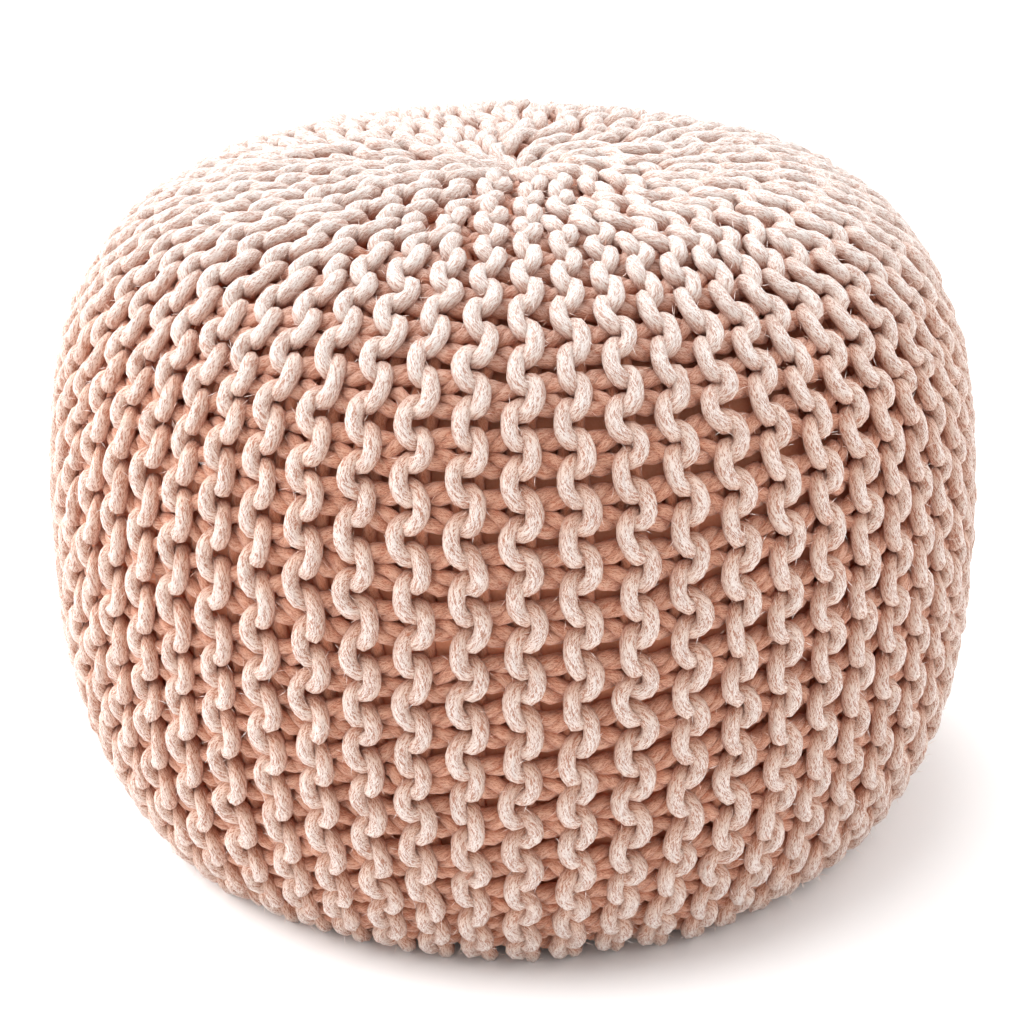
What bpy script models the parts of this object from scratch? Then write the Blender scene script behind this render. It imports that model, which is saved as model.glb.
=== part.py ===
"""Knitted pouf: a thick hand-knitted cotton cover over a round, filled inner casing.

Metres, +Z up. The origin is the middle of the underside, on the floor. Both pieces are turned about Z.
The cover is a shell as thick as its stitches are deep, closed at the crown, with the small hole that its
gathering thread leaves at the middle of the underside. The casing fills the cover.
"""

import math

import bpy

# Driving dimensions.
WIDEST_RADIUS = 0.254
HEIGHT = 0.361
WIDEST_HEIGHT = 0.148
COVER_THICKNESS = 0.0175
FITTING_GAP = 0.0003

# How square the round form is: 2 is an ellipse, and a higher power makes the shoulder fuller.
CROWN_WIDTH_POWER = 4.87
CROWN_HEIGHT_POWER = 2.46
FOOT_WIDTH_POWER = 4.92
FOOT_HEIGHT_POWER = 2.36

# The weight presses the foot flat: without the floor it would reach this far down.
FOOT_DROP = 0.0344

# The gathers at the two ends of the knitting.
CROWN_DIMPLE_DEPTH = 0.006
CROWN_DIMPLE_RADIUS = 0.034
FOOT_HOLE_RADIUS = 0.0018

# Facets of the turned pieces.
TURN_STEPS = 48
SIDE_POINTS = 24
CURVE_SAMPLES = 1500
MERGE_DISTANCE = 0.00005

COVER_COLOUR = (0.76, 0.56, 0.47, 1.0)
COVER_ROUGHNESS = 0.92
CASING_COLOUR = (0.55, 0.25, 0.16, 1.0)
CASING_ROUGHNESS = 0.85


def clear_scene():
    """Remove whatever the opened file holds."""
    for item in list(bpy.data.objects):
        bpy.data.objects.remove(item, do_unlink=True)


def dimple(radius):
    """Depth of the crown's gather at a radius: deepest on the axis, level at the dimple's rim."""
    if radius >= CROWN_DIMPLE_RADIUS:
        return 0.0
    share = radius / CROWN_DIMPLE_RADIUS
    return CROWN_DIMPLE_DEPTH * 0.5 * (1.0 + math.cos(math.pi * share))


def curved_side(inset):
    """The side's curve from the crown's middle to the foot's edge, set in from the outside by inset."""
    widest = WIDEST_RADIUS - inset
    crown_rise = HEIGHT - WIDEST_HEIGHT - inset
    foot_drop = WIDEST_HEIGHT + FOOT_DROP - inset
    points = []
    for step in range(CURVE_SAMPLES + 1):
        turn = 0.5 * math.pi * (1.0 - step / CURVE_SAMPLES)
        radius = widest * max(math.cos(turn), 0.0) ** (2.0 / CROWN_WIDTH_POWER) if step else 0.0
        height = WIDEST_HEIGHT + crown_rise * math.sin(turn) ** (2.0 / CROWN_HEIGHT_POWER)
        points.append((radius, height - dimple(radius)))
    for step in range(1, CURVE_SAMPLES + 1):
        turn = 0.5 * math.pi * step / CURVE_SAMPLES
        radius = widest * max(math.cos(turn), 0.0) ** (2.0 / FOOT_WIDTH_POWER)
        height = WIDEST_HEIGHT - foot_drop * math.sin(turn) ** (2.0 / FOOT_HEIGHT_POWER)
        if height <= inset:
            points.append((radius, inset))
            break
        points.append((radius, height))
    return points


def evenly_spaced(points, count):
    """Pick count + 1 points at equal distances along a curve, its two ends included."""
    lengths = [0.0]
    for start, end in zip(points, points[1:]):
        lengths.append(lengths[-1] + math.dist(start, end))
    picked = []
    index = 0
    for step in range(count + 1):
        wanted = lengths[-1] * step / count
        while index < len(lengths) - 2 and lengths[index + 1] < wanted:
            index += 1
        span = lengths[index + 1] - lengths[index]
        share = (wanted - lengths[index]) / span if span else 0.0
        (r0, z0), (r1, z1) = points[index], points[index + 1]
        picked.append((r0 + (r1 - r0) * share, z0 + (z1 - z0) * share))
    return picked


def cover_profile():
    """Down the outside, across the underside to its hole, and back up the inside."""
    outside = evenly_spaced(curved_side(0.0), SIDE_POINTS)
    inside = evenly_spaced(curved_side(COVER_THICKNESS), SIDE_POINTS)
    hole = [(FOOT_HOLE_RADIUS, 0.0), (FOOT_HOLE_RADIUS, COVER_THICKNESS)]
    return outside + hole + inside[::-1]


def casing_profile():
    """Down the outside and across the underside to the axis."""
    inset = COVER_THICKNESS + FITTING_GAP
    return evenly_spaced(curved_side(inset), SIDE_POINTS) + [(0.0, inset)]


def plain_material(name, colour, roughness):
    material = bpy.data.materials.new(name)
    material.use_nodes = True
    shader = material.node_tree.nodes["Principled BSDF"]
    shader.inputs["Base Color"].default_value = colour
    shader.inputs["Roughness"].default_value = roughness
    shader.inputs["Metallic"].default_value = 0.0
    return material


def turned_piece(name, profile, material, collection):
    """Turn a profile of (radius, height) points about Z into a closed solid."""
    mesh = bpy.data.meshes.new(name)
    edges = [(index, index + 1) for index in range(len(profile) - 1)]
    mesh.from_pydata([(radius, 0.0, height) for radius, height in profile], edges, [])
    piece = bpy.data.objects.new(name, mesh)
    collection.objects.link(piece)
    turn = piece.modifiers.new("turn", "SCREW")
    turn.axis = "Z"
    turn.angle = 2.0 * math.pi
    turn.steps = TURN_STEPS
    turn.render_steps = TURN_STEPS
    turn.use_merge_vertices = True
    turn.merge_threshold = MERGE_DISTANCE
    turn.use_smooth_shade = True
    mesh.materials.append(material)
    return piece


def build_pouf():
    clear_scene()
    collection = bpy.data.collections.new("knitted_pouf")
    bpy.context.scene.collection.children.link(collection)
    cotton = plain_material("knit_yarn", COVER_COLOUR, COVER_ROUGHNESS)
    cloth = plain_material("casing_cloth", CASING_COLOUR, CASING_ROUGHNESS)
    turned_piece("knitted_cover", cover_profile(), cotton, collection)
    turned_piece("inner_casing", casing_profile(), cloth, collection)


build_pouf()
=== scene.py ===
"""Knitted pouf: the cord of the cover stitch by stitch, the filled casing inside it, materials, light and camera.

Metres, +Z up. The cover is knitted sideways in garter stitch, so its courses run from the gather at the crown,
down the side, to the gather under the foot. Two courses, out and back, make one upright ridge.
"""

import math

import bpy
import numpy as np
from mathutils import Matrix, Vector


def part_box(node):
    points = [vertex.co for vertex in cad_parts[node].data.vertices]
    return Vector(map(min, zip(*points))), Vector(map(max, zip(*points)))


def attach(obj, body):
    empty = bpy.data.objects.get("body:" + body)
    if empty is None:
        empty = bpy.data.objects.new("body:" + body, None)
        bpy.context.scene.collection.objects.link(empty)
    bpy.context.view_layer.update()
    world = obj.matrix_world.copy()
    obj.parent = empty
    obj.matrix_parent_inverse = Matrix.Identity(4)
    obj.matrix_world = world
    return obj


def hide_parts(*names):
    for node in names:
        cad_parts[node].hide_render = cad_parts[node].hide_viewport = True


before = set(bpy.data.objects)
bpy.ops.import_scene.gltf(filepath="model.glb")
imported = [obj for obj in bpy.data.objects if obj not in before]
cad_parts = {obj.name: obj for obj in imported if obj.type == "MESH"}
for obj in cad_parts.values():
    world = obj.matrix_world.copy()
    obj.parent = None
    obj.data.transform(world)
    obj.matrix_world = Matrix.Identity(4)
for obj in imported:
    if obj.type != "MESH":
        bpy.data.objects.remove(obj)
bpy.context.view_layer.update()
cover_low, cover_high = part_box("knitted_cover")

# The round form, as in the frame: its sizes come from the cover's box.
WIDEST_RADIUS = 0.5 * (cover_high.x - cover_low.x)
HEIGHT = cover_high.z
WIDEST_HEIGHT = 0.41 * HEIGHT
FOOT_DROP = 0.0953 * HEIGHT
CROWN_WIDTH_POWER = 4.87
CROWN_HEIGHT_POWER = 2.46
FOOT_WIDTH_POWER = 4.92
FOOT_HEIGHT_POWER = 2.36
CROWN_DIMPLE_DEPTH = 0.006
CROWN_DIMPLE_RADIUS = 0.034
CURVE_SAMPLES = 1500
FOOT_SAMPLES = 300
EDGE_ROUNDING = 0.016

# The knitting.
RIDGES = 60
WALES = 28
WALE_PHASE = 0.24
GATHER_SLACK = 0.5
FIRST_RIDGE_ANGLE = -0.031
FLAT_RIDGE_WIDTH = 0.0266
FLAT_WALE_HEIGHT = 0.0284
TIGHTEST_RIDGE_WIDTH = 0.0175
GATHER_RIDGES = 8
# Where a short row narrows to nothing, in wales.
NARROWS_BEFORE = 0.9
NARROWS_AFTER = 1.9
NARROWS_OVER = 1.6
NARROWEST_SHARE = 1e-4
CORD_RADIUS = 0.0042
CORD_SIDES = 8
CREST_STEP = 0.0031
VALLEY_STEP = 0.0070
# Depths, in millimetres, between which the steps along the cord grow.
STEP_DEPTHS = (9.0, 14.5)
CURVE_PARTS = 8
LUMPS = 0.045
LUMPS_SHARED = 0.6
# Turn of the laid fibres, in radians a metre, and how far their pattern moves on from ridge to ridge.
FIBRE_TURN = 110.0
PATTERN_SHIFT = 7.3
PRESSED_BELOW = 8.5
PRESSED_SHARE = 0.72
SECTORS = 6
GOLDEN_SHARE = 0.618034
SEED = 11

MM = 0.001

# One stitch of each course, from the middle of one foot to the middle of the next, around its own wale.
# across: from the ridge's middle line, along: down from the wale's middle line, depth: of the cord's own middle
# line below the crests, girth: its thickness there. Millimetres, and a share of the full thickness.
KNIT_STITCH = (
    # across, along, depth, girth
    (-22.8, -14.2, 18.0, 0.84),
    (-21.6, -8.6, 17.8, 0.84),
    (-19.6, -3.9, 17.0, 0.84),
    (-16.6, -2.6, 15.2, 0.84),
    (-13.3, -2.9, 12.8, 0.86),
    (-10.0, -4.4, 11.2, 0.88),
    (-5.9, -6.4, 11.8, 0.90),
    (-1.2, -9.0, 10.8, 0.95),
    (2.6, -8.2, 7.8, 1.0),
    (5.1, -4.6, 5.2, 1.0),
    (5.9, 0.0, 4.4, 1.0),
    (5.2, 4.8, 4.2, 1.0),
    (2.4, 8.6, 4.9, 1.0),
    (-1.6, 9.2, 8.6, 0.95),
    (-5.9, 6.6, 11.8, 0.90),
    (-10.0, 4.4, 11.2, 0.88),
    (-13.3, 2.9, 12.8, 0.86),
    (-16.6, 2.6, 15.2, 0.84),
    (-19.6, 3.9, 17.0, 0.84),
    (-21.6, 8.6, 17.8, 0.84),
)
# The purl course: from the middle of a head, deep in the valley, by a foot on the crest, to the next head.
PURL_STITCH = (
    # across, along, depth, girth
    (22.8, -14.2, 18.0, 0.84),
    (21.6, -9.2, 17.6, 0.84),
    (19.8, -6.4, 16.6, 0.84),
    (16.6, -5.6, 14.8, 0.84),
    (13.3, -5.6, 12.6, 0.88),
    (10.0, -6.2, 10.8, 0.92),
    (5.9, -8.0, 11.6, 0.92),
    (1.4, -9.8, 10.4, 0.95),
    (-2.6, -8.4, 7.6, 1.0),
    (-5.2, -4.7, 5.2, 1.0),
    (-5.9, 0.0, 4.4, 1.0),
    (-5.2, 5.0, 4.2, 1.0),
    (-2.2, 9.3, 4.9, 1.0),
    (1.8, 10.0, 8.6, 0.95),
    (5.9, 8.4, 11.6, 0.92),
    (10.0, 7.0, 10.8, 0.92),
    (13.3, 6.4, 12.6, 0.88),
    (16.6, 6.0, 14.8, 0.84),
    (19.8, 6.6, 16.6, 0.84),
    (21.6, 9.2, 17.6, 0.84),
)

# The cord's turns from one course to the other: across, depth and girth as above, along in wales from the end
# of the ridge.
FOOT_TURN = (
    # across, along, depth, girth
    (-21.5, -0.02, 17.0, 0.84),
    (-17.0, 0.22, 12.5, 0.9),
    (-10.5, 0.22, 7.0, 1.0),
)
CROWN_TURN = (
    # across, along, depth, girth
    (-10.5, -0.22, 7.0, 1.0),
    (-17.0, -0.22, 12.5, 0.9),
    (-21.5, -0.02, 17.0, 0.84),
)

# Camera: a long lens a little above the pouf.
CAMERA_DISTANCE = 1.2593
CAMERA_ELEVATION = 0.3962
CAMERA_TILT = 0.4089
CAMERA_AIM_HEIGHT = 0.1727
CAMERA_LENS = 79.5
CAMERA_SENSOR = 36.0
CAMERA_SHIFT = -0.0015


def side_curve(inset=0.0):
    """Radius and height along the form, from the crown's middle to the middle of the foot, with its outward
    normal and the distance along it."""
    widest = WIDEST_RADIUS - inset
    turn = np.linspace(0.5 * math.pi, 0.0, CURVE_SAMPLES)
    radius = widest * np.clip(np.cos(turn), 0.0, 1.0) ** (2.0 / CROWN_WIDTH_POWER)
    radius[0] = 0.0
    height = WIDEST_HEIGHT + (HEIGHT - WIDEST_HEIGHT - inset) * np.sin(turn) ** (2.0 / CROWN_HEIGHT_POWER)
    share = np.clip(radius / CROWN_DIMPLE_RADIUS, 0.0, 1.0)
    height = height - CROWN_DIMPLE_DEPTH * 0.5 * (1.0 + np.cos(math.pi * share))
    turn = np.linspace(0.0, 0.5 * math.pi, CURVE_SAMPLES)[1:]
    low_radius = widest * np.clip(np.cos(turn), 0.0, 1.0) ** (2.0 / FOOT_WIDTH_POWER)
    drop = WIDEST_HEIGHT + FOOT_DROP - inset
    low_height = WIDEST_HEIGHT - drop * np.sin(turn) ** (2.0 / FOOT_HEIGHT_POWER)
    above = low_height > inset
    foot_radius = low_radius[above][-1]
    foot = np.linspace(foot_radius, 0.0, FOOT_SAMPLES)[1:]
    radius = np.concatenate([radius, low_radius[above], foot])
    height = np.concatenate([height, low_height[above], np.full(len(foot), inset)])
    along = np.concatenate([[0.0], np.cumsum(np.hypot(np.diff(radius), np.diff(height)))])
    even = np.linspace(0.0, along[-1], 2 * CURVE_SAMPLES)
    radius = np.interp(even, along, radius)
    height = np.interp(even, along, height)
    lean = np.unwrap(np.arctan2(np.gradient(radius), -np.gradient(height)))
    window = max(3, int(2.0 * EDGE_ROUNDING / (even[1] - even[0])) | 1)
    padded = np.pad(lean, window // 2, mode="edge")
    lean = np.convolve(padded, np.ones(window) / window, mode="valid")
    return {
        "along": even,
        "radius": radius,
        "height": height,
        "normal_out": np.cos(lean),
        "normal_up": np.sin(lean),
    }


FORM = side_curve()
FORM_LENGTH = FORM["along"][-1]
WALE_HEIGHT = FORM_LENGTH / (WALES + GATHER_SLACK)


def ridges_at(wale):
    """How many ridges the knitting has at a wale, so that none is tighter than the tightest width."""
    along = np.clip((wale + 0.5) * WALE_HEIGHT, 0.0, FORM_LENGTH)
    radius = np.interp(along, FORM["along"], FORM["radius"])
    fitting = 2.0 * math.pi * radius / TIGHTEST_RIDGE_WIDTH
    return np.clip(fitting, GATHER_RIDGES, RIDGES)


def ridge_ends():
    """First and last wale of each ridge: short rows end before the gathers, spread evenly round the pouf."""
    ends = []
    for ridge in range(RIDGES):
        share = (ridge * GOLDEN_SHARE) % 1.0
        reached = [wale for wale in range(WALES) if ridges_at(wale) > share * RIDGES]
        ends.append((reached[0], reached[-1]))
    return ends


RIDGE_ENDS = ridge_ends()


def ridge_shares(along_wales):
    """Share of the full width that each ridge has at a place along the form, in wales: rows by points."""
    shares = []
    for first, last in RIDGE_ENDS:
        fade_in = np.clip((along_wales - (first - NARROWS_BEFORE)) / NARROWS_OVER, 0.0, 1.0)
        fade_out = np.clip(((last + NARROWS_AFTER) - along_wales) / NARROWS_OVER, 0.0, 1.0)
        fade = np.minimum(fade_in, fade_out)
        shares.append(fade * fade * (3.0 - 2.0 * fade))
    return np.array(shares)


TABLE_STEPS = 1000
TABLE_PLACES = np.linspace(-0.5, WALES + 0.5, TABLE_STEPS)
SHARE_TABLE = np.maximum(ridge_shares(TABLE_PLACES), NARROWEST_SHARE)
EDGE_TABLE = np.vstack([np.zeros(TABLE_STEPS), np.cumsum(SHARE_TABLE, axis=0)])


def ridge_angle(across, along_wales):
    """Angle round the pouf of a place across the ridges, where ridge r's middle is r + 0.5."""
    turns = np.floor(across / RIDGES)
    inside = across - turns * RIDGES
    column = np.clip(np.interp(along_wales, TABLE_PLACES, np.arange(TABLE_STEPS)), 0, TABLE_STEPS - 1)
    left = np.floor(column).astype(int)
    right = np.minimum(left + 1, TABLE_STEPS - 1)
    blend = column - left
    lower = np.minimum(np.floor(inside).astype(int), RIDGES - 1)
    part = inside - lower

    def edge(index):
        return EDGE_TABLE[index, left] * (1.0 - blend) + EDGE_TABLE[index, right] * blend

    total = EDGE_TABLE[RIDGES, left] * (1.0 - blend) + EDGE_TABLE[RIDGES, right] * blend
    low_edge = edge(lower)
    return 2.0 * math.pi * (turns + (low_edge + part * (edge(lower + 1) - low_edge)) / total)


RANDOM = np.random.default_rng(SEED)


def smooth_field(rows, columns, amount):
    """A seeded grid of soft unevenness, read with smooth blending; rows wrap round the pouf."""
    grid = RANDOM.normal(0.0, amount, (rows, columns))

    def read(row, column):
        row = np.mod(row, rows)
        column = np.clip(column, 0.0, columns - 1.001)
        r0 = np.floor(row).astype(int) % rows
        c0 = np.floor(column).astype(int)
        fr = row - np.floor(row)
        fc = column - c0
        fr = fr * fr * (3.0 - 2.0 * fr)
        fc = fc * fc * (3.0 - 2.0 * fc)
        r1 = (r0 + 1) % rows
        c1 = c0 + 1
        top = grid[r0, c0] * (1.0 - fc) + grid[r0, c1] * fc
        bottom = grid[r1, c0] * (1.0 - fc) + grid[r1, c1] * fc
        return top * (1.0 - fr) + bottom * fr

    return read


# Unevenness of the knitting, from one fixed seed: across in ridges, along in wales, depth in metres.
SWAY_SPACING = 4.0
SLIP_SPACING = 3.0
SWELL_ROWS = 16
SWAY = smooth_field(round(RIDGES / SWAY_SPACING), 8, 0.085)
SLIP = smooth_field(round(RIDGES / SLIP_SPACING), 10, 0.05)
SWELL = smooth_field(SWELL_ROWS, 8, 0.0007)
FINE_ACROSS = smooth_field(RIDGES, WALES + 3, 0.042)
FINE_ALONG = smooth_field(RIDGES, WALES + 3, 0.046)
FINE_DEPTH = smooth_field(RIDGES, WALES + 3, 0.0006)
FINER_ACROSS = smooth_field(2 * RIDGES, 2 * WALES + 6, 0.030)
FINER_ALONG = smooth_field(2 * RIDGES, 2 * WALES + 6, 0.034)
FINER_DEPTH = smooth_field(2 * RIDGES, 2 * WALES + 6, 0.0005)
VALLEY_ALONG = smooth_field(2 * RIDGES, 2 * WALES + 6, 0.075)
VALLEY_DEPTH = smooth_field(2 * RIDGES, 2 * WALES + 6, 0.0010)
GATHER_WALES = 5.0
GATHER_UNEVENNESS = 0.9
VALLEY_FROM = 0.007
VALLEY_BAND = 0.005
CLOSEST_TO_MIDDLE = 0.0015


def place(across, along_wales, depth):
    """Points of the pouf for places in the knitting: across in ridges, along in wales, depth in metres."""
    from_end = np.minimum(along_wales, WALES - along_wales)
    uneven = 1.0 + GATHER_UNEVENNESS * np.clip(1.0 - from_end / GATHER_WALES, 0.0, 1.0)
    fine = (across, along_wales + 1.0)
    finer = (2.0 * across, 2.0 * along_wales + 2.0)
    sway = SWAY(across / SWAY_SPACING, along_wales / SWAY_SPACING + 0.5)
    slip = SLIP(across / SLIP_SPACING, along_wales / SLIP_SPACING + 0.5)
    swell = SWELL(across * SWELL_ROWS / RIDGES, along_wales / SWAY_SPACING + 0.5)
    across = across + sway + uneven * (FINE_ACROSS(*fine) + FINER_ACROSS(*finer))
    along_wales = along_wales + slip + uneven * (FINE_ALONG(*fine) + FINER_ALONG(*finer))
    valley = np.clip((depth - VALLEY_FROM) / VALLEY_BAND, 0.0, 1.0)
    along_wales = along_wales + valley * VALLEY_ALONG(*finer)
    depth = depth + swell + uneven * (FINE_DEPTH(*fine) + FINER_DEPTH(*finer)) + valley * VALLEY_DEPTH(*finer)
    angle = ridge_angle(across, along_wales) + FIRST_RIDGE_ANGLE
    along = np.clip((along_wales + WALE_PHASE) * WALE_HEIGHT, 0.0, FORM_LENGTH)
    radius = np.interp(along, FORM["along"], FORM["radius"])
    height = np.interp(along, FORM["along"], FORM["height"])
    out = np.interp(along, FORM["along"], FORM["normal_out"])
    up = np.interp(along, FORM["along"], FORM["normal_up"])
    radius = np.maximum(radius - depth * out, CLOSEST_TO_MIDDLE)
    height = height - depth * up
    points = np.column_stack([radius * np.sin(angle), -radius * np.cos(angle), height])
    return points, np.column_stack([out * np.sin(angle), -out * np.cos(angle), up])


def pressed(depth):
    """The deepest strands are pressed together between the casing and the crests."""
    return np.where(depth > PRESSED_BELOW, PRESSED_BELOW + PRESSED_SHARE * (depth - PRESSED_BELOW), depth)


def yarn_route(ridge):
    """Guide points of one ridge's cord: the knit course down, the purl course back up, and the two turns."""
    first, last = RIDGE_ENDS[ridge]
    rows = []
    for wale in range(first, last + 1):
        for across, along, depth, girth in KNIT_STITCH:
            rows.append((across, wale + 0.5 + along * MM / FLAT_WALE_HEIGHT, depth, girth))
    low = last + 1.0
    for across, along, depth, girth in FOOT_TURN:
        rows.append((across, low + along, depth, girth))
    climb = []
    for wale in range(first, last + 1):
        for across, along, depth, girth in PURL_STITCH:
            climb.append((across, wale + along * MM / FLAT_WALE_HEIGHT, depth, girth))
    foot_middle = PURL_STITCH.index(min(PURL_STITCH, key=lambda row: row[0]))
    climb = climb[foot_middle:]
    for across, along, depth, girth in PURL_STITCH[: foot_middle + 1]:
        climb.append((across, low + along * MM / FLAT_WALE_HEIGHT, depth, girth))
    rows.extend(climb[::-1])
    for across, along, depth, girth in CROWN_TURN:
        rows.append((across, first + along, depth, girth))
    rows = np.array(rows)
    rows[:, 2] = pressed(rows[:, 2])
    return rows


def smooth_loop(points, values):
    """A closed Catmull-Rom curve through points, resampled closely on the crests and widely in the valleys.
    The first value is the depth; all values follow along."""
    before = np.roll(points, 1, axis=0)
    after = np.roll(points, -1, axis=0)
    beyond = np.roll(points, -2, axis=0)
    pieces = []
    blended = []
    for share in np.arange(CURVE_PARTS) / CURVE_PARTS:
        square = share * share
        cube = square * share
        pieces.append(
            0.5
            * (
                2.0 * points
                + (after - before) * share
                + (2.0 * before - 5.0 * points + 4.0 * after - beyond) * square
                + (3.0 * points - before - 3.0 * after + beyond) * cube
            )
        )
        blended.append(values * (1.0 - share) + np.roll(values, -1, axis=0) * share)
    dense = np.stack(pieces, axis=1).reshape(-1, 3)
    dense_values = np.stack(blended, axis=1).reshape(-1, values.shape[1])
    closed = np.vstack([dense, dense[:1]])
    closed_values = np.vstack([dense_values, dense_values[:1]])
    spans = np.linalg.norm(np.diff(closed, axis=0), axis=1)
    lengths = np.concatenate([[0.0], np.cumsum(spans)])
    steps = np.interp(dense_values[:, 0], STEP_DEPTHS, (CREST_STEP, VALLEY_STEP))
    counted = np.concatenate([[0.0], np.cumsum(spans / steps)])
    count = int(round(counted[-1]))
    wanted = np.interp(np.arange(count) * counted[-1] / count, counted, lengths)
    even = np.column_stack([np.interp(wanted, lengths, closed[:, axis]) for axis in range(3)])
    even_values = np.column_stack(
        [np.interp(wanted, lengths, closed_values[:, column]) for column in range(values.shape[1])]
    )
    return even, even_values, wanted


def cord_sides(centres):
    """Two unit vectors across the cord at each point, carried along it without twist, and closed at the end."""
    ahead = np.roll(centres, -1, axis=0) - np.roll(centres, 1, axis=0)
    ahead /= np.linalg.norm(ahead, axis=1)[:, None]
    count = len(centres)
    side = np.zeros_like(centres)
    start = np.cross(ahead[0], (0.0, 0.0, 1.0))
    side[0] = start / np.linalg.norm(start)
    for index in range(1, count):
        carried = side[index - 1] - ahead[index] * np.dot(side[index - 1], ahead[index])
        side[index] = carried / math.sqrt(np.dot(carried, carried))
    closing = side[-1] - ahead[0] * np.dot(side[-1], ahead[0])
    closing /= np.linalg.norm(closing)
    miss = math.atan2(np.dot(np.cross(side[0], closing), ahead[0]), np.dot(side[0], closing))
    other = np.cross(ahead, side)
    twist = -miss * np.arange(count) / count
    turned = side * np.cos(twist)[:, None] + other * np.sin(twist)[:, None]
    return turned, np.cross(ahead, turned), ahead


# Loose fibres: roots are drawn along the whole cord, and those deeper than FIBRE_DEEPEST_ROOT are left out.
FIBRE_SPACING = 0.0115
FIBRE_TRIES = 2
FIBRE_SIDES = 3
FIBRE_RADIUS = 0.00016
FIBRE_CLEARANCE = 0.0005
FIBRE_DEEPEST_ROOT = 0.0075
FIBRE_SLANT = (0.3, 0.8)
FIBRE_LIFT = (0.15, 0.95)
FIBRE_LENGTH = (0.0028, 0.0070)
FIBRE_ROOT_SUNK = 0.0002
FIBRE_CURL = 0.12
# Root depth at which a loose fibre's painted shade is full.
FIBRE_FULL_SHADE_DEPTH = 0.008
STRAYS = []


def stray_fibres(centres, side, other, ahead, radius, values, lengths):
    """Loose fibres that stand a little off the cord's crests: slender closed spindles, thickest at the middle."""
    total = int(lengths[-1] / FIBRE_SPACING * FIBRE_TRIES)
    root = RANDOM.integers(0, len(centres), total)
    turn = RANDOM.uniform(0.0, 2.0 * math.pi, total)
    out = side[root] * np.cos(turn)[:, None] + other[root] * np.sin(turn)[:, None]
    rise = np.sum(out * values[root, 2:5], axis=1)
    depth = values[root, 0] * MM - rise * radius[root]
    keep = depth < FIBRE_DEEPEST_ROOT
    root, out, depth = root[keep], out[keep], depth[keep]
    count = len(root)
    round_way = np.cross(ahead[root], out)
    lay = RANDOM.choice((-1.0, 1.0), count) * RANDOM.uniform(*FIBRE_SLANT, count)
    lift = RANDOM.uniform(*FIBRE_LIFT, count)
    way = ahead[root] * RANDOM.choice((-1.0, 1.0), count)[:, None] + round_way * lay[:, None] + out * lift[:, None]
    way /= np.linalg.norm(way, axis=1)[:, None]
    length = RANDOM.uniform(*FIBRE_LENGTH, count)
    start = centres[root] + out * (radius[root] - FIBRE_ROOT_SUNK)[:, None]
    across = np.cross(way, out)
    across /= np.linalg.norm(across, axis=1)[:, None]
    above = np.cross(across, way)
    middle = start + way * (0.5 * length)[:, None]
    end = start + way * length[:, None] + out * (FIBRE_CURL * length)[:, None]
    corners = []
    for corner in range(FIBRE_SIDES):
        angle = 2.0 * math.pi * corner / FIBRE_SIDES
        corners.append(middle + (across * math.cos(angle) + above * math.sin(angle)) * FIBRE_RADIUS)
    return np.stack([start, end, *corners], axis=1), depth


def laid_place(turn, lengths, ridge, way):
    """Places round and along a cord whose fibres turn one way (1.0) or the other (-1.0) as it runs."""
    lay = turn[None, :] + way * FIBRE_TURN * lengths[:, None]
    onward = np.broadcast_to(lengths[:, None] + ridge * PATTERN_SHIFT, lay.shape)
    return np.stack([np.cos(lay) * CORD_RADIUS, np.sin(lay) * CORD_RADIUS, onward], axis=-1).reshape(-1, 3)


def cord_mesh(ridge):
    """Vertices, faces, both laid places and depths of one ridge's cord. Its loose fibres go to STRAYS."""
    route = yarn_route(ridge)
    across = ridge + 0.5 + route[:, 0] * MM / FLAT_RIDGE_WIDTH
    points, outward = place(across, route[:, 1], route[:, 2] * MM)
    centres, values, lengths = smooth_loop(points, np.column_stack([route[:, 2:4], outward]))
    side, other, ahead = cord_sides(centres)
    count = len(centres)
    turn = np.arange(CORD_SIDES) * 2.0 * math.pi / CORD_SIDES
    radius = CORD_RADIUS * values[:, 1]
    lumps = RANDOM.normal(0.0, LUMPS, (count, CORD_SIDES))
    lumps = 1.0 + lumps + LUMPS_SHARED * (np.roll(lumps, 1, axis=0) + np.roll(lumps, -1, axis=0))
    ring = side[:, None, :] * np.cos(turn)[None, :, None] + other[:, None, :] * np.sin(turn)[None, :, None]
    vertices = centres[:, None, :] + ring * (radius[:, None] * lumps)[:, :, None]
    index = np.arange(count)[:, None] * CORD_SIDES + np.arange(CORD_SIDES)[None, :]
    following = np.roll(index, -1, axis=0)
    faces = np.stack([index, np.roll(index, -1, axis=1), np.roll(following, -1, axis=1), following], axis=-1)
    rise = np.sum(ring * values[:, None, 2:5], axis=2)
    depth = values[:, :1] * MM - rise * radius[:, None]
    STRAYS.append(stray_fibres(centres, side, other, ahead, radius, values, lengths))
    return (
        vertices.reshape(-1, 3),
        faces.reshape(-1, 4),
        laid_place(turn, lengths, ridge, 1.0),
        laid_place(turn, lengths, ridge, -1.0),
        depth.reshape(-1),
    )


def new_piece(name, vertices, faces, material):
    """A mesh piece from rows of points and rows of face corners."""
    mesh = bpy.data.meshes.new(name)
    mesh.vertices.add(len(vertices))
    mesh.vertices.foreach_set("co", vertices.astype(np.float32).ravel())
    mesh.loops.add(faces.size)
    mesh.loops.foreach_set("vertex_index", faces.astype(np.int32).ravel())
    mesh.polygons.add(len(faces))
    mesh.polygons.foreach_set("loop_start", np.arange(0, faces.size, faces.shape[1], dtype=np.int32))
    mesh.update(calc_edges=True)
    mesh.materials.append(material)
    piece = bpy.data.objects.new(name, mesh)
    bpy.context.scene.collection.objects.link(piece)
    return piece


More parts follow.
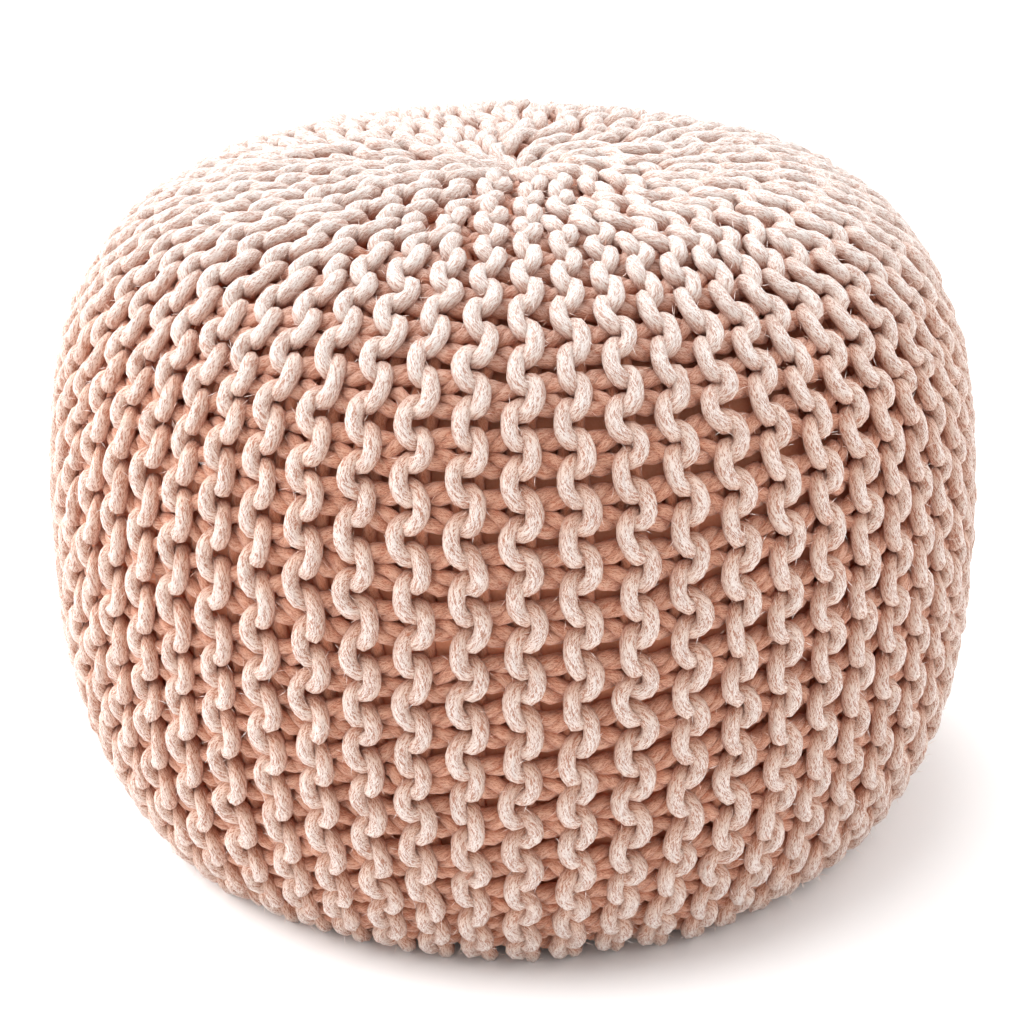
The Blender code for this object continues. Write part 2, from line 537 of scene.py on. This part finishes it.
def add_values(piece, name, values):
    """A number or a vector for each point, which the materials read by its name."""
    kind, field = ("FLOAT", "value") if values.ndim == 1 else ("FLOAT_VECTOR", "vector")
    attribute = piece.data.attributes.new(name, kind, "POINT")
    attribute.data.foreach_set(field, values.astype(np.float32).ravel())


def joined_piece(name, cords, material):
    """One mesh piece from several cords."""
    vertices, faces, places, backs, depths = zip(*cords)
    starts = np.cumsum([0] + [len(points) for points in vertices[:-1]])
    faces = np.concatenate([corners + start for corners, start in zip(faces, starts)])
    vertices = np.concatenate(vertices)
    vertices[:, 2] = np.maximum(vertices[:, 2], 0.0)
    piece = new_piece(name, vertices, faces, material)
    piece.data.shade_smooth()
    add_values(piece, "cord_place", np.concatenate(places))
    add_values(piece, "cord_back", np.concatenate(backs))
    add_values(piece, "crest_depth", np.concatenate(depths))
    return piece


def fibre_piece(material):
    """All the loose fibres as one piece, without those that would reach the floor."""
    spindles, depths = (np.concatenate(rows) for rows in zip(*STRAYS))
    clear = spindles[:, :, 2].min(axis=1) > FIBRE_CLEARANCE
    spindles, depths = spindles[clear], depths[clear]
    size = 2 + FIBRE_SIDES
    first = np.arange(len(spindles))[:, None] * size
    faces = []
    for corner in range(FIBRE_SIDES):
        after = (corner + 1) % FIBRE_SIDES
        faces.append(np.concatenate([first, first + 2 + after, first + 2 + corner], axis=1))
        faces.append(np.concatenate([first + 1, first + 2 + corner, first + 2 + after], axis=1))
    piece = new_piece("loose_fibres", spindles.reshape(-1, 3), np.concatenate(faces), material)
    add_values(piece, "crest_depth", np.repeat(depths, size))
    return piece


def new_material(name):
    material = bpy.data.materials.new(name)
    material.use_nodes = True
    shader = material.node_tree.nodes["Principled BSDF"]
    return material, material.node_tree, shader


def add_node(tree, kind, **settings):
    node = tree.nodes.new(kind)
    for key, value in settings.items():
        setattr(node, key, value)
    return node


def ramp(tree, stops):
    node = add_node(tree, "ShaderNodeValToRGB")
    elements = node.color_ramp.elements
    while len(elements) < len(stops):
        elements.new(0.5)
    for element, (position, colour) in zip(elements, stops):
        element.position = position
        element.color = (*colour, 1.0)
    return node


def add_relief(tree, shader, height, strength, distance):
    """Bumps on a surface, from a height between 0 and 1."""
    bump = add_node(tree, "ShaderNodeBump")
    bump.inputs["Strength"].default_value = strength
    bump.inputs["Distance"].default_value = distance
    tree.links.new(height, bump.inputs["Height"])
    tree.links.new(bump.outputs["Normal"], shader.inputs["Normal"])


FIBRE_STRETCH = 0.15


def laid_fibres(tree, attribute_name, scale):
    """Noise drawn out along one of the two ways that the fibres are laid round the cord."""
    where = add_node(tree, "ShaderNodeAttribute", attribute_name=attribute_name)
    stretch = add_node(tree, "ShaderNodeMapping")
    stretch.inputs["Scale"].default_value = (1.0, 1.0, FIBRE_STRETCH)
    tree.links.new(where.outputs["Vector"], stretch.inputs["Vector"])
    fibres = add_node(tree, "ShaderNodeTexNoise")
    fibres.inputs["Scale"].default_value = scale
    fibres.inputs["Detail"].default_value = 2.0
    fibres.inputs["Roughness"].default_value = 0.55
    tree.links.new(stretch.outputs["Vector"], fibres.inputs["Vector"])
    return fibres.outputs["Fac"]


# Colours of the standing fibres and of the gaps between them, from the crests (0) to the deepest strands (1). The
# change with depth is painted shade: darker and redder down into the valleys, and lighter red again in the deepest
# strands so that their shade renders lighter.
TIP_COLOURS_WITH_PAINTED_SHADE = (
    (0.0, (0.80, 0.71, 0.665)),
    (0.12, (0.765, 0.60, 0.51)),
    (0.3, (0.73, 0.465, 0.345)),
    (0.55, (0.71, 0.32, 0.19)),
    (1.0, (0.87, 0.345, 0.19)),
)
ROOT_COLOURS_WITH_PAINTED_SHADE = (
    (0.0, (0.43, 0.20, 0.13)),
    (0.12, (0.42, 0.17, 0.10)),
    (0.3, (0.44, 0.15, 0.075)),
    (0.55, (0.49, 0.14, 0.065)),
    (1.0, (0.79, 0.265, 0.125)),
)
DEEPEST = 0.017
# Painted highlight on the crown: crests are painted paler towards the top, between these shares of the height, and
# down to this depth.
CROWN_HIGHLIGHT_TIPS = (0.82, 0.805, 0.79)
CROWN_HIGHLIGHT_ROOTS = (0.56, 0.39, 0.325)
CROWN_HIGHLIGHT_HEIGHTS = (0.78, 0.97)
CROWN_HIGHLIGHT_DEPTH = 0.011
CROWN_HIGHLIGHT_SHARE = 0.75
# Fibres a metre each way round, the broader strands under them, and the values at which a fibre stands up.
FIBRES_RIGHT = 2700.0
FIBRES_LEFT = 2600.0
STRANDS = 1150.0
STRAND_SHARE = 0.55
RAISED_BETWEEN = (0.735, 0.85)
FIBRE_RELIEF = 0.0010


def cotton_cord():
    """Soft matte cotton: fine fibres laid both ways round the cord, pale where they stand up and redder between
    them.
    Painted shade turns both darker and redder with depth below the crests, down into the valleys, and a painted
    highlight makes the crests paler towards the crown."""
    material, tree, shader = new_material("cotton_cord")
    link = tree.links.new
    depth = add_node(tree, "ShaderNodeAttribute", attribute_name="crest_depth")
    right = laid_fibres(tree, "cord_place", FIBRES_RIGHT)
    left = laid_fibres(tree, "cord_back", FIBRES_LEFT)
    fine = add_node(tree, "ShaderNodeMath", operation="MAXIMUM")
    link(right, fine.inputs[0])
    link(left, fine.inputs[1])
    strands = laid_fibres(tree, "cord_place", STRANDS)
    both = add_node(tree, "ShaderNodeMath", operation="MULTIPLY_ADD")
    link(strands, both.inputs[0])
    both.inputs[1].default_value = STRAND_SHARE
    link(fine.outputs["Value"], both.inputs[2])
    raised = add_node(tree, "ShaderNodeMapRange")
    raised.inputs["From Min"].default_value = RAISED_BETWEEN[0]
    raised.inputs["From Max"].default_value = RAISED_BETWEEN[1]
    link(both.outputs["Value"], raised.inputs["Value"])
    # Painted shade: both colour ramps follow the depth below the crests.
    deeper = add_node(tree, "ShaderNodeMapRange")
    deeper.inputs["From Min"].default_value = 0.0
    deeper.inputs["From Max"].default_value = DEEPEST
    link(depth.outputs["Fac"], deeper.inputs["Value"])
    tips = ramp(tree, TIP_COLOURS_WITH_PAINTED_SHADE)
    link(deeper.outputs["Result"], tips.inputs["Fac"])
    roots = ramp(tree, ROOT_COLOURS_WITH_PAINTED_SHADE)
    link(deeper.outputs["Result"], roots.inputs["Fac"])
    # Painted highlight: crests painted paler towards the crown, by height on the pouf and depth below the crests.
    spot = add_node(tree, "ShaderNodeTexCoord")
    height = add_node(tree, "ShaderNodeSeparateXYZ")
    link(spot.outputs["Object"], height.inputs["Vector"])
    highlight_by_height = add_node(tree, "ShaderNodeMapRange")
    highlight_by_height.inputs["From Min"].default_value = CROWN_HIGHLIGHT_HEIGHTS[0] * HEIGHT
    highlight_by_height.inputs["From Max"].default_value = CROWN_HIGHLIGHT_HEIGHTS[1] * HEIGHT
    link(height.outputs["Z"], highlight_by_height.inputs["Value"])
    highlight_by_depth = add_node(tree, "ShaderNodeMapRange")
    highlight_by_depth.inputs["From Min"].default_value = CROWN_HIGHLIGHT_DEPTH
    highlight_by_depth.inputs["From Max"].default_value = 0.0
    highlight_by_depth.inputs["To Max"].default_value = CROWN_HIGHLIGHT_SHARE
    link(depth.outputs["Fac"], highlight_by_depth.inputs["Value"])
    painted_highlight = add_node(tree, "ShaderNodeMath", operation="MULTIPLY")
    link(highlight_by_height.outputs["Result"], painted_highlight.inputs[0])
    link(highlight_by_depth.outputs["Result"], painted_highlight.inputs[1])
    mix = add_node(tree, "ShaderNodeMix", data_type="RGBA")
    link(raised.outputs["Result"], mix.inputs["Factor"])
    for colours, highlight_colour, socket in ((roots, CROWN_HIGHLIGHT_ROOTS, 6), (tips, CROWN_HIGHLIGHT_TIPS, 7)):
        highlighted = add_node(tree, "ShaderNodeMix", data_type="RGBA")
        link(painted_highlight.outputs["Value"], highlighted.inputs["Factor"])
        link(colours.outputs["Color"], highlighted.inputs[6])
        highlighted.inputs[7].default_value = (*highlight_colour, 1.0)
        link(highlighted.outputs[2], mix.inputs[socket])
    link(mix.outputs[2], shader.inputs["Base Color"])
    add_relief(tree, shader, both.outputs["Value"], 1.0, FIBRE_RELIEF)
    shader.inputs["Roughness"].default_value = 0.95
    shader.inputs["Specular IOR Level"].default_value = 0.15
    shader.inputs["Sheen Weight"].default_value = 0.35
    shader.inputs["Sheen Roughness"].default_value = 0.6
    shader.inputs["Sheen Tint"].default_value = (1.0, 0.94, 0.91, 1.0)
    return material


def fibre_cotton():
    """Single cotton fibres: paler than the cord, with painted shade that makes those rooted deeper below the
    crests redder.
    """
    material, tree, shader = new_material("fibre_cotton")
    depth = add_node(tree, "ShaderNodeAttribute", attribute_name="crest_depth")
    deeper = add_node(tree, "ShaderNodeMapRange")
    deeper.inputs["From Max"].default_value = FIBRE_FULL_SHADE_DEPTH
    tree.links.new(depth.outputs["Fac"], deeper.inputs["Value"])
    # Painted shade: fibres rooted deeper are painted redder.
    colour = ramp(tree, ((0.0, (0.96, 0.88, 0.84)), (1.0, (0.88, 0.56, 0.43))))
    tree.links.new(deeper.outputs["Result"], colour.inputs["Fac"])
    tree.links.new(colour.outputs["Color"], shader.inputs["Base Color"])
    shader.inputs["Roughness"].default_value = 0.9
    shader.inputs["Specular IOR Level"].default_value = 0.15
    return material


WEAVE_SCALE = 900.0
WEAVE_RELIEF = 0.0003


def casing_cloth():
    """Plain woven terracotta cotton."""
    material, tree, shader = new_material("casing_cloth")
    link = tree.links.new
    spot = add_node(tree, "ShaderNodeTexCoord")
    weave = add_node(tree, "ShaderNodeTexNoise")
    weave.inputs["Scale"].default_value = WEAVE_SCALE
    weave.inputs["Detail"].default_value = 2.0
    link(spot.outputs["Object"], weave.inputs["Vector"])
    colour = ramp(tree, ((0.3, (0.88, 0.37, 0.21)), (0.7, (0.93, 0.43, 0.26))))
    link(weave.outputs["Fac"], colour.inputs["Fac"])
    link(colour.outputs["Color"], shader.inputs["Base Color"])
    add_relief(tree, shader, weave.outputs["Fac"], 0.4, WEAVE_RELIEF)
    shader.inputs["Roughness"].default_value = 0.9
    shader.inputs["Specular IOR Level"].default_value = 0.2
    return material


def make_cover():
    material = cotton_cord()
    cords = [cord_mesh(ridge) for ridge in range(RIDGES)]
    share = RIDGES // SECTORS
    for sector in range(SECTORS):
        piece = joined_piece(
            f"knit_sector_{sector + 1}", cords[sector * share : (sector + 1) * share], material
        )
        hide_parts("knitted_cover")
        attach(piece, "root")
    fibres = fibre_piece(fibre_cotton())
    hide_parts("knitted_cover")
    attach(fibres, "root")


CASING_VOXEL = 0.0105
CASING_PRESSURE = 4.0
CASING_FRAMES = 20
CASING_SWELL = 0.0012
SMALLEST = 1e-9


def points_of(mesh):
    """A mesh's points as rows of x, y, z."""
    flat = np.empty(3 * len(mesh.vertices), dtype=np.float32)
    mesh.vertices.foreach_get("co", flat)
    return flat.reshape(-1, 3)


def swell(piece):
    """Blow the piece up like a filled cushion, no further than the knitting lets it."""
    bpy.context.view_layer.objects.active = piece
    cloth = piece.modifiers.new("filling", "CLOTH")
    cloth.settings.use_pressure = True
    cloth.settings.uniform_pressure_force = CASING_PRESSURE
    cloth.settings.effector_weights.gravity = 0.0
    cloth.point_cache.frame_start = 1
    cloth.point_cache.frame_end = CASING_FRAMES
    slack = points_of(piece.data)
    for frame_number in range(1, CASING_FRAMES + 1):
        bpy.context.scene.frame_set(frame_number)
    filled = piece.evaluated_get(bpy.context.evaluated_depsgraph_get()).data
    moved = points_of(filled) - slack
    piece.modifiers.remove(cloth)
    bpy.context.scene.frame_set(1)
    reach = np.linalg.norm(moved, axis=1)[:, None]
    moved *= np.minimum(1.0, CASING_SWELL / np.maximum(reach, SMALLEST))
    full = slack + moved
    full[:, 2] = np.maximum(full[:, 2], slack[:, 2].min())
    piece.data.vertices.foreach_set("co", full.astype(np.float32).ravel())
    piece.data.update()


def make_casing():
    """The filled casing that shows between the strands: one padded piece."""
    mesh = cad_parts["inner_casing"].data.copy()
    mesh.name = "filled_casing"
    piece = bpy.data.objects.new("filled_casing", mesh)
    bpy.context.scene.collection.objects.link(piece)
    bpy.ops.object.select_all(action="DESELECT")
    piece.select_set(True)
    bpy.context.view_layer.objects.active = piece
    remesh = piece.modifiers.new("even_cloth", "REMESH")
    remesh.mode = "VOXEL"
    remesh.voxel_size = CASING_VOXEL
    bpy.ops.object.modifier_apply(modifier=remesh.name)
    swell(piece)
    finer = piece.modifiers.new("finer", "SUBSURF")
    finer.levels = 1
    finer.render_levels = 1
    bpy.ops.object.modifier_apply(modifier=finer.name)
    piece.data.shade_smooth()
    piece.data.materials.clear()
    piece.data.materials.append(casing_cloth())
    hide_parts("inner_casing")
    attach(piece, "root")


FLOOR_SIZE = 12.0
WORLD_STRENGTH = 0.86


def make_floor():
    bpy.ops.mesh.primitive_plane_add(size=FLOOR_SIZE, location=(0.0, 0.0, 0.0))
    floor = bpy.context.object
    floor.name = "floor"
    material, _, shader = new_material("pale_floor")
    shader.inputs["Base Color"].default_value = (0.95, 0.95, 0.95, 1.0)
    shader.inputs["Roughness"].default_value = 0.9
    floor.data.materials.append(material)


# Wide soft lights: name, strength, apparent width in degrees, the way that the light travels.
SUNS = (
    ("overhead", 3.0, 60.0, (0.42, -0.05, -0.90)),
    ("left_side", 5.8, 70.0, (0.86, -0.42, -0.12)),
    ("right_side", 1.7, 70.0, (-0.80, -0.35, -0.30)),
)


def make_light():
    world = bpy.data.worlds.new("studio")
    bpy.context.scene.world = world
    world.use_nodes = True
    backdrop = world.node_tree.nodes["Background"]
    backdrop.inputs["Color"].default_value = (1.0, 1.0, 1.0, 1.0)
    backdrop.inputs["Strength"].default_value = WORLD_STRENGTH
    for name, energy, angle, way in SUNS:
        data = bpy.data.lights.new(name, "SUN")
        data.energy = energy
        data.angle = math.radians(angle)
        light = bpy.data.objects.new(name, data)
        light.rotation_mode = "QUATERNION"
        light.rotation_quaternion = Vector(way).to_track_quat("-Z", "Y")
        bpy.context.scene.collection.objects.link(light)


def make_camera():
    data = bpy.data.cameras.new("camera")
    data.lens = CAMERA_LENS
    data.sensor_width = CAMERA_SENSOR
    data.shift_x = CAMERA_SHIFT
    camera = bpy.data.objects.new("camera", data)
    camera.location = (
        0.0,
        -CAMERA_DISTANCE * math.cos(CAMERA_ELEVATION),
        CAMERA_AIM_HEIGHT + CAMERA_DISTANCE * math.sin(CAMERA_ELEVATION),
    )
    camera.rotation_euler = (0.5 * math.pi - CAMERA_TILT, 0.0, 0.0)
    bpy.context.scene.collection.objects.link(camera)
    bpy.context.scene.camera = camera
    bpy.context.scene.view_settings.view_transform = "Standard"


bpy.ops.object.select_all(action="DESELECT")
make_camera()
make_light()
make_floor()
make_cover()
make_casing()
